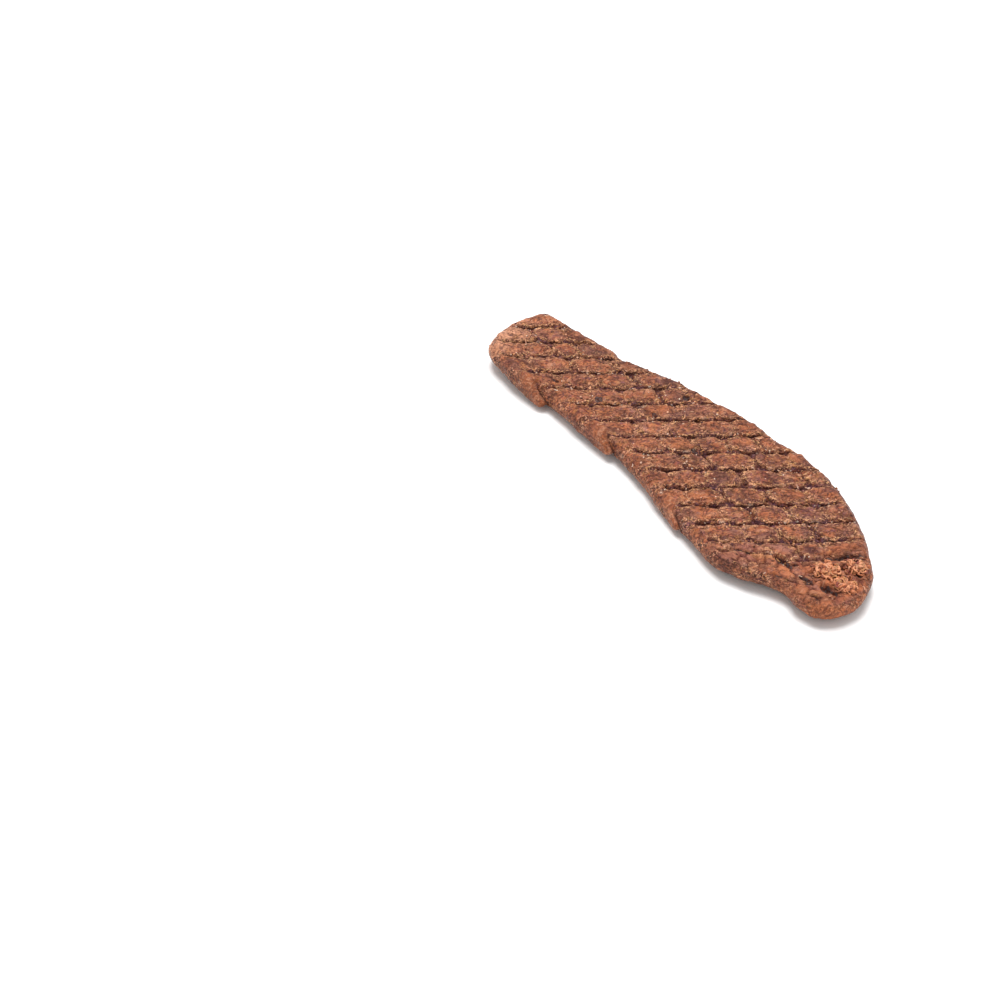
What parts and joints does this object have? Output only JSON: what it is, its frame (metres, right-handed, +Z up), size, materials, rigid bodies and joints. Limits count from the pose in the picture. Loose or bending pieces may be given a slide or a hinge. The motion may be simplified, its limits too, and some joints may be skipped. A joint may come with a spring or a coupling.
{
  "type": "chicken jerky strip",
  "caption": "Flat, slightly curled strip of dried pressed chicken with lozenge drying-belt marks on both faces and a torn wide end.",
  "frame": {"origin": "centre of the bounding box's underside, on the plane that the strip lies on", "axes": "+X along the strip's length towards its wide torn end, +Y across it, +Z up through its thickness"},
  "size_m": [0.1296, 0.0442, 0.0078],
  "materials": {
    "jerky": "dry brown meat, half matt with a slight gloss on the raised cells"
  },
  "bodies": {
    "root": {"jerky_strip": "jerky"}
  },
  "joints": []
}
